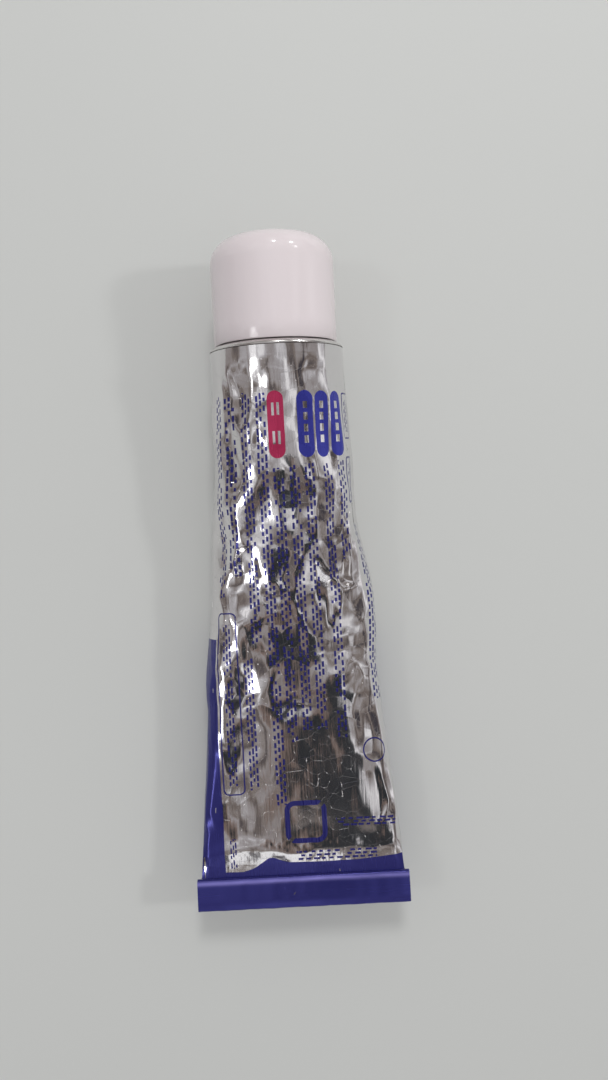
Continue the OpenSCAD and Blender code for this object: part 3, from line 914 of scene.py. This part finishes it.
# %% Table
bpy.ops.mesh.primitive_plane_add(size=3, location=(0, 0, 0))
table_top = bpy.context.object
table_top.name = "table_top"
table_mat, tree, shader = new_material("table")
cloud = noise(tree, add(tree, "ShaderNodeTexCoord", out=3), 9.0, 3.0)
cloudy = mix(tree, cloud, (0.625, 0.635, 0.62), (0.65, 0.655, 0.64))
feed(tree, shader, Base_Color=cloudy, Roughness=0.5)
dress(table_top, table_mat)
print("the table is %.0f m wide" % table_top.dimensions.x)

# %% [markdown]
# ## What the metal reflects
# Bare metal shows what is round it: over the tail something dark with a warm edge, and past it
# something pale that glows softly. A whole room could be built, but three boards do, and only
# reflections see them, so they throw no shadow and the camera passes through them.

# %% Boards for the reflections
def reflected_board(name, x, y, z, wide, deep, colour, glow=0.0):
    bpy.ops.mesh.primitive_plane_add(size=1, location=(x * MM, y * MM, z * MM))
    board = bpy.context.object
    board.name = name
    board.scale = (wide * MM, deep * MM, 1)
    board.visible_camera = False
    board.visible_diffuse = False
    board.visible_shadow = False
    board.visible_transmission = False
    board_mat, tree, shader = new_material(name)
    feed(tree, shader, Base_Color=(*colour, 1), Roughness=0.8, Emission_Color=(*colour, 1),
         Emission_Strength=glow)
    dress(board, board_mat)


reflected_board("dark_board", 14, -80, 158, 34, 82, (0.03, 0.035, 0.045))
reflected_board("warm_board", -7.5, -84, 160, 10, 70, (0.4, 0.28, 0.235))
reflected_board("pale_board", -11, -168, 156, 38, 64, (0.9, 0.9, 0.92), 0.6)

# %% [markdown]
# ## Lamps and the room's light
# Lamps on the right, on the left and on the cap's side throw the three soft shadows. Others stand
# for windows and far lights that show in the metal. A lamp could do both at once, but then each
# highlight would move with its shadow, so shadows and highlights have lamps of their own.

# %% Lamps
def lamp(name, at, size, power):
    data = bpy.data.lights.new(name, "AREA")
    data.shape, data.size, data.energy = "DISK", size, power
    obj = bpy.data.objects.new(name, data)
    bpy.context.scene.collection.objects.link(obj)
    obj.location = at
    obj.rotation_euler = (-Vector(at)).to_track_quat("-Z", "Y").to_euler()
    return obj


SHADOW_LAMPS = [  # name, place in metres, size, power
    ("right_lamp", (0.40, 0.038, 0.375), 0.05, 0.4),
    ("left_lamp", (-0.44, 0.07, 0.66), 0.09, 0.3),
    ("cap_lamp", (0.04, 0.35, 0.45), 0.12, 0.9),
]
HIGHLIGHT_LAMPS = [
    ("far_spot", (0.11, 0.99, 0.76), 0.05, 1.6),
    ("far_right_spot", (0.61, 0.90, 0.61), 0.05, 1.6),
    ("right_window", (0.55, 0.45, 0.5), 0.12, 0.25),
    ("left_window", (-0.52, -0.22, 0.62), 0.16, 0.35),
    ("low_window", (-0.50, -0.36, 0.58), 0.2, 0.5),
    ("tail_window", (-0.25, -0.7, 0.6), 0.16, 0.15),
    ("front_window", (0.3, -0.75, 0.5), 0.12, 0.1),
]
for row in SHADOW_LAMPS:
    lamp(*row).visible_glossy = False
for row in HIGHLIGHT_LAMPS:
    lamp(*row).visible_diffuse = False
print("lamps:", len(SHADOW_LAMPS), "for shadows and", len(HIGHLIGHT_LAMPS), "for highlights")

# %% [markdown]
# ## The room
# The room is seen in three ways. Matt surfaces get a soft light that is stronger on one side,
# reflections see dark and bright patches, as in a real room, and the camera sees a pale grey
# beyond the table. One picture of a room could give all of these, but three answers to three kinds
# of ray can each be set alone.

# %% Surroundings
ROOM = [  # where in the noise, colour
    (0.36, (0.05, 0.045, 0.055)), (0.43, (0.2, 0.165, 0.145)), (0.49, (0.3, 0.275, 0.272)),
    (0.58, (0.45, 0.44, 0.455)), (0.68, (0.95, 0.94, 0.95)),
]
DIM_SIDE, BRIGHT_SIDE, BEYOND = (0.37, 0.37, 0.375), (0.63, 0.63, 0.625), (0.76, 0.765, 0.76)
world = bpy.data.worlds.new("room")
bpy.context.scene.world = world
world.use_nodes = True
tree = world.node_tree
way = add(tree, "ShaderNodeTexCoord", out=0)
room = add(tree, "ShaderNodeValToRGB", {"stops": ROOM}, {0: noise(tree, way, 3.4, 3.0)})
side = add(tree, "ShaderNodeSeparateXYZ", {}, {0: way}) * 0.5 + 0.5
soft_room = mix(tree, side, DIM_SIDE, BRIGHT_SIDE)
glossy = add(tree, "ShaderNodeLightPath", out=3)
camera_ray = Wire(tree, glossy.socket.node.outputs[0])
seen = mix(tree, camera_ray, mix(tree, glossy, soft_room, room), BEYOND)
feed(tree, tree.nodes["Background"], Color=seen, Strength=1.0)
print("the room takes", len(tree.nodes), "nodes")

# %% [markdown]
# ## The camera
# The camera looks straight down from about 15 cm, a little turned, so near that the high round end
# looks bigger than it is. It could be set by eye; here its height and place come from the sizes
# that the tube shows at its high and its low end.

# %% Camera
CAMERA_X, CAMERA_Y, CAMERA_H, ROLL = 3.0, 5.8, 149.0, -2.93
FOCAL_PX, PICTURE_PX, SENSOR = 830, 1080, 36
camera_data = bpy.data.cameras.new("camera")
camera_data.sensor_width = SENSOR
camera_data.lens = FOCAL_PX / PICTURE_PX * SENSOR
camera_data.clip_start = 0.005
camera = bpy.data.objects.new("camera", camera_data)
bpy.context.scene.collection.objects.link(camera)
camera.location = Vector((CAMERA_X, CAMERA_Y, CAMERA_H)) * MM
camera.rotation_euler = (0, 0, math.radians(ROLL))
bpy.context.scene.camera = camera
bpy.context.scene.view_settings.view_transform = "Standard"
print("camera %.0f mm up, lens %.1f mm" % (CAMERA_H, camera_data.lens))
